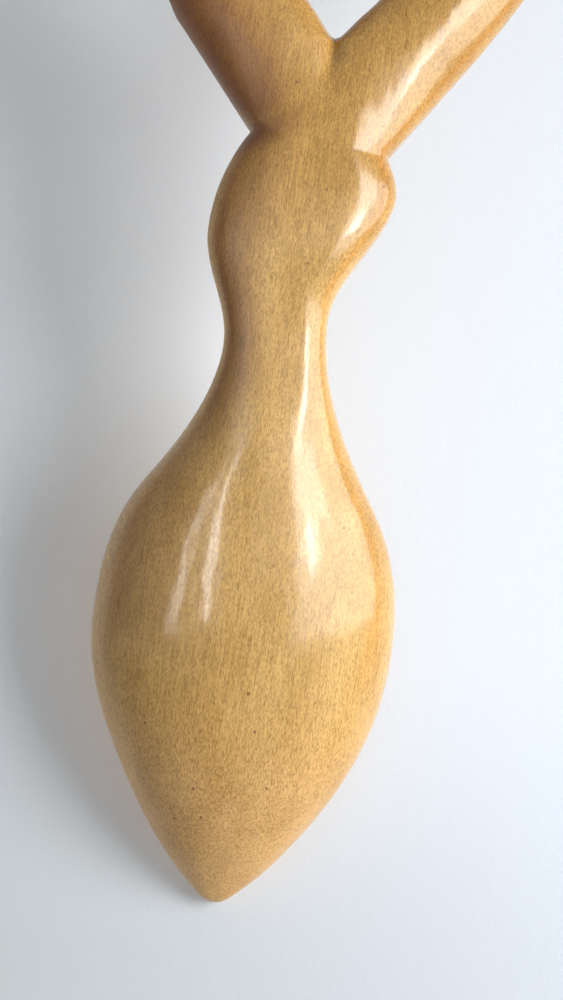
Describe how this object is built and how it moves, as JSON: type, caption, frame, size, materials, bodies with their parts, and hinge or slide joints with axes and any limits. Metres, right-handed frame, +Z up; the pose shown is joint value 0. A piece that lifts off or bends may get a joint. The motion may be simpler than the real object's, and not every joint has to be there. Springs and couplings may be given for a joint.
{
  "type": "love spoon",
  "caption": "Carved wooden love spoon with a pointed leaf-shaped bowl, slim neck, rounded knop and a forked handle that opens into a heart, hung by a hole in its crown.",
  "frame": {"origin": "middle of the hanging hole, on the handle's middle plane", "axes": "+Z up the spoon as it hangs, +Y out of its back towards the wall, +X to the right as seen from the front"},
  "size_m": [0.0907, 0.0219, 0.2338],
  "materials": {
    "varnished_wood": "pale close-grained wood under glossy honey-coloured varnish"
  },
  "bodies": {
    "root": {"bowl": "varnished_wood", "neck": "varnished_wood", "knop": "varnished_wood", "fork": "varnished_wood", "left_arm": "varnished_wood", "right_arm": "varnished_wood", "left_lobe": "varnished_wood", "right_lobe": "varnished_wood", "crown": "varnished_wood"}
  },
  "joints": []
}
